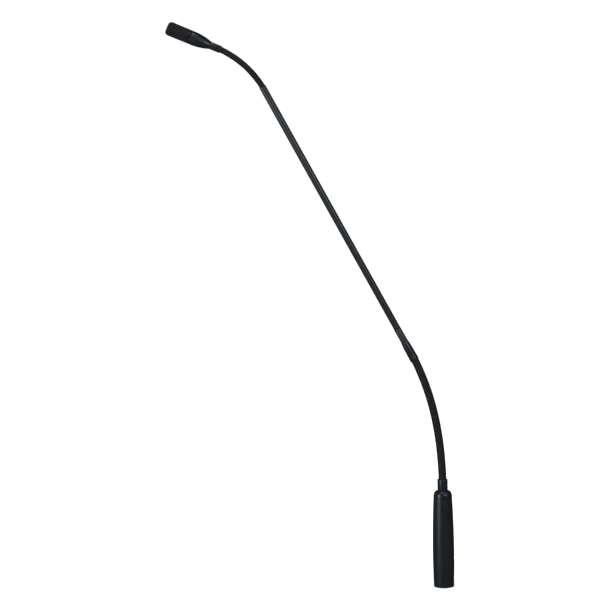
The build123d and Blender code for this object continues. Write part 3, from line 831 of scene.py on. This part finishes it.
neck_radius = 2.6
neck_length = 4.0
neck_coil_fit = 2.81
collar_radius = 3.27
head_rear_radius = 3.4
turned(
    "neck_collar",
    [
        (neck_coil_fit, -collar_length, 0.06),
        (collar_radius, -collar_length, 0.35),
        (collar_radius, 0, 0.06),
        (neck_radius, 0),
        (neck_radius, neck_length),
        (neck_bore, neck_length),
        (neck_bore, collar_seat - collar_length),
        (neck_coil_fit, collar_seat - collar_length),
    ],
    head_seat, "head_lacquer", "head", "head_collar",
)
spigot_radius = 5.61
spigot_end = 22.2
ogive_length = 16.0
head_bore = 4.2
head_bore_start = 8.5
neck_fit = 2.63
neck_floor = 4.4
body_outline = bow((head_radius, ogive_length), (head_rear_radius, 0), (0, -1), 28)[::-1]
turned(
    "head_barrel",
    [(*body_outline[0], 0.2)]
    + body_outline[1:]
    + [
        (head_radius, grille_start, 0.1),
        (spigot_radius, grille_start),
        (spigot_radius, spigot_end, 0.15),
        (head_bore, spigot_end),
        (head_bore, head_bore_start),
        (neck_bore, head_bore_start),
        (neck_bore, neck_floor),
        (neck_fit, neck_floor),
        (neck_fit, 0),
    ],
    head_seat, "head_lacquer", "head", "head_body", segments=128,
)

grille_rear = 6.14
grille_bore = 5.64
meridian = [(grille_rear, grille_start)] + bow(
    (grille_radius, nose_start), (nose_radius, head_length), (0, 1), 24
)
cloth_at, cloth_length = walker([Vector((radius, 0, height)) for radius, height in meridian])
cloth_depth = 2 * cloth_wire


def on_grille(angle, along, lift):
    """A place on the grille's surface: angle round it, distance from its rear, lift outwards."""
    point, way = cloth_at(along)
    out = Vector((way.z, 0, -way.x))
    place = point + out * (lift - cloth_depth)
    return Matrix.Rotation(angle, 3, "Z") @ place


def strand(shape, sides, steps, place):
    """A thin closed tube: place(share, across, up) gives where each point of it goes."""
    made = bmesh.ops.create_grid(shape, x_segments=sides, y_segments=steps, size=0.5)["verts"]
    for vert in made:
        around = tau * (vert.co.x + 0.5)
        share = vert.co.y + 0.5
        vert.co = place(share, cloth_wire * cos(around), cloth_wire * sin(around))


def cloth_side():
    """The woven side: wires along the head, and rings that go over and under them."""
    weave = bmesh.new()
    warps = 2 * round(pi * grille_radius / cloth_pitch)
    wefts = round(cloth_length / cloth_pitch)
    reach = cloth_length / wefts
    for number in range(warps):
        side = 1 if number % 2 else -1

        def warp(share, across, up, number=number, side=side):
            along = share * cloth_length
            lift = cloth_wire * side * cos(pi * along / reach) + up
            point, _ = cloth_at(along)
            angle = tau * number / warps + across / max(point.x, nose_radius)
            return on_grille(angle, along, lift)

        strand(weave, 5, 2 * wefts, warp)
    for number in range(wefts):
        side = 1 if number % 2 else -1
        level = (number + 0.5) * reach

        def weft(share, across, up, level=level, side=side):
            lift = cloth_wire * side * cos(warps / 2 * tau * share) + up
            return on_grille(tau * share, level + across, lift)

        strand(weave, 5, 2 * warps, weft)
    return weave


grille = finished("grille_cloth_side", cloth_side(), head_seat, "grille_cloth", 80.0)
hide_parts("grille")
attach(grille, "head")


def cloth_front():
    """The flat front: a square weave, clipped to the round rim."""
    weave = bmesh.new()
    rows = round(2 * nose_radius / cloth_pitch)
    for number in range(1, rows):
        offset = -nose_radius + number * 2 * nose_radius / rows
        half = (nose_radius ** 2 - offset ** 2) ** 0.5
        for turn in (0, 1):
            side = 1 if (number + turn) % 2 else -1

            def row(share, across, up, offset=offset, half=half, side=side, turn=turn):
                along = (2 * share - 1) * half
                phase = pi * (along + nose_radius) * rows / (2 * nose_radius)
                wave = cloth_wire * side * cos(phase)
                flat = (along, offset + across) if turn else (offset + across, along)
                return Vector((*flat, head_length - cloth_depth + wave + up))

            strand(weave, 5, max(8, ceil(4 * half / cloth_pitch)), row)
    return weave


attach(finished("grille_cloth_front", cloth_front(), head_seat, "grille_cloth", 80.0), "head")
rim = 0.2
turned_rim = spun(
    [
        (nose_radius - rim, head_length - 2 * rim, 0.09),
        (nose_radius + rim, head_length - 2 * rim, 0.09),
        (nose_radius + rim, head_length, 0.12),
        (nose_radius - rim, head_length, 0.12),
    ]
)
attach(finished("grille_front_rim", turned_rim, head_seat, "grille_cloth"), "head")
hem_end = grille_start + 0.6
hem = spun(
    [
        (grille_bore, grille_start),
        (grille_rear, grille_start, 0.1),
        (grille_rear, hem_end, 0.12),
        (grille_bore, hem_end),
    ],
    128,
)
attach(finished("grille_hem", hem, head_seat, "grille_cloth"), "head")


def foam_plug():
    """The foam behind the cloth: hollow for the capsule, with a rough, uneven skin."""
    radius = 5.66
    bore = 5.14
    rear = 25.2
    floor_height = 33.2
    foam_front = 39.95
    front_radius = 3.95
    skin_depth = 0.05
    shape = spun(
        [(bore, rear), (radius, rear, 0.1), (radius, nose_start)]
        + bow((radius, nose_start), (front_radius, foam_front), (0, 1), 10)[1:]
        + [(0, foam_front), (0, floor_height), (bore, floor_height)],
        72,
    )
    long_edges = [edge for edge in shape.edges if edge.calc_length() > 1.2]
    bmesh.ops.subdivide_edges(shape, edges=long_edges, cuts=3, use_grid_fill=True)
    bmesh.ops.remove_doubles(shape, verts=shape.verts[:], dist=0.0005)
    bmesh.ops.recalc_face_normals(shape, faces=shape.faces[:])
    shape.normal_update()
    for vert in shape.verts:
        vert.co -= vert.normal * skin_depth * (1 + noise.noise(vert.co * 2.2))
    return shape


foam = finished("head_foam", foam_plug(), head_seat, "foam_grey", 60.0)
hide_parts("foam_liner")
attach(foam, "head")

# ---------------------------------------------------------------- floor, light and camera

floor_reach = 30.0
floor_level = -0.0006
floor_shape = bmesh.new()
bmesh.ops.create_circle(floor_shape, cap_ends=True, radius=floor_reach, segments=96)
floor_mesh = bpy.data.meshes.new("studio_floor")
floor_shape.to_mesh(floor_mesh)
floor_shape.free()
floor_mesh.transform(Matrix.Translation((0, 0, floor_level)))
floor = bpy.data.objects.new("studio_floor", floor_mesh)
scene.collection.objects.link(floor)
floor.visible_glossy = False
paint = Finish("floor_paint", Specular_IOR_Level=0.1)
uneven = paint.span(paint.mottle(400.0), 0, 1)
paint.colour(paint.blend(uneven, rgb(0.93, 0.93, 0.93), rgb(0.95, 0.95, 0.95)))
paint.roughness(0.9)
floor_mesh.materials.append(paint.material)

room_light = 1.12
room_reflection = 0.05
world = bpy.data.worlds.new("studio")
scene.world = world
world.use_nodes = True
sky = world.node_tree
room = sky.nodes["Background"]
ray = sky.nodes.new("ShaderNodeLightPath")
shade = sky.nodes.new("ShaderNodeMapRange")
for socket, number in zip(RANGE_SOCKETS, (0.0, 1.0, room_light, room_reflection)):
    shade.inputs[socket].default_value = number
sky.links.new(ray.outputs["Is Glossy Ray"], shade.inputs["Value"])
sky.links.new(shade.outputs["Result"], room.inputs["Strength"])
room.inputs["Color"].default_value = rgb(1.0, 1.0, 1.0)


def softbox(name, place, aim, width, height, power):
    """A flat rectangular light that faces a point."""
    lamp = bpy.data.lights.new(name, "AREA")
    lamp.shape = "RECTANGLE"
    lamp.size = width
    lamp.size_y = height
    lamp.energy = power
    box = bpy.data.objects.new(name, lamp)
    box.location = place
    box.rotation_mode = "QUATERNION"
    box.rotation_quaternion = (Vector(aim) - Vector(place)).to_track_quat("-Z", "Y")
    scene.collection.objects.link(box)


low_corner, high_corner = cad_box
centre = (low_corner + high_corner) / 2
softbox("overhead", (-0.1, -0.45, 1.9), centre, 0.8, 0.6, 11.0)
softbox("left_strip", (-1.15, -1.0, 0.32), (0, 0, 0.1), 0.1, 0.6, 11.0)
softbox("right_strip", (0.9, -1.2, 0.8), (-0.1, 0, 0.35), 0.22, 0.5, 6.0)

elevation = radians(11.0)
roll = radians(-1.098)
distance = 6.0
aim = Vector((-0.12225, 0, 0.25902))
view_way = Vector((0, cos(elevation), -sin(elevation)))
level_right = Vector((1, 0, 0))
level_up = level_right.cross(view_way)
camera_right = level_right * cos(roll) + level_up * sin(roll)
camera_up = level_up * cos(roll) - level_right * sin(roll)
camera_data = bpy.data.cameras.new("camera")
camera_data.sensor_width = 36.0
camera_data.lens = 411.5
camera_data.clip_start = 0.1
camera_data.clip_end = 100.0
camera = bpy.data.objects.new("camera", camera_data)
turn = Matrix((camera_right, camera_up, -view_way)).transposed()
camera.matrix_world = Matrix.Translation(aim - view_way * distance) @ turn.to_4x4()
scene.collection.objects.link(camera)
scene.camera = camera
scene.view_settings.view_transform = "Standard"
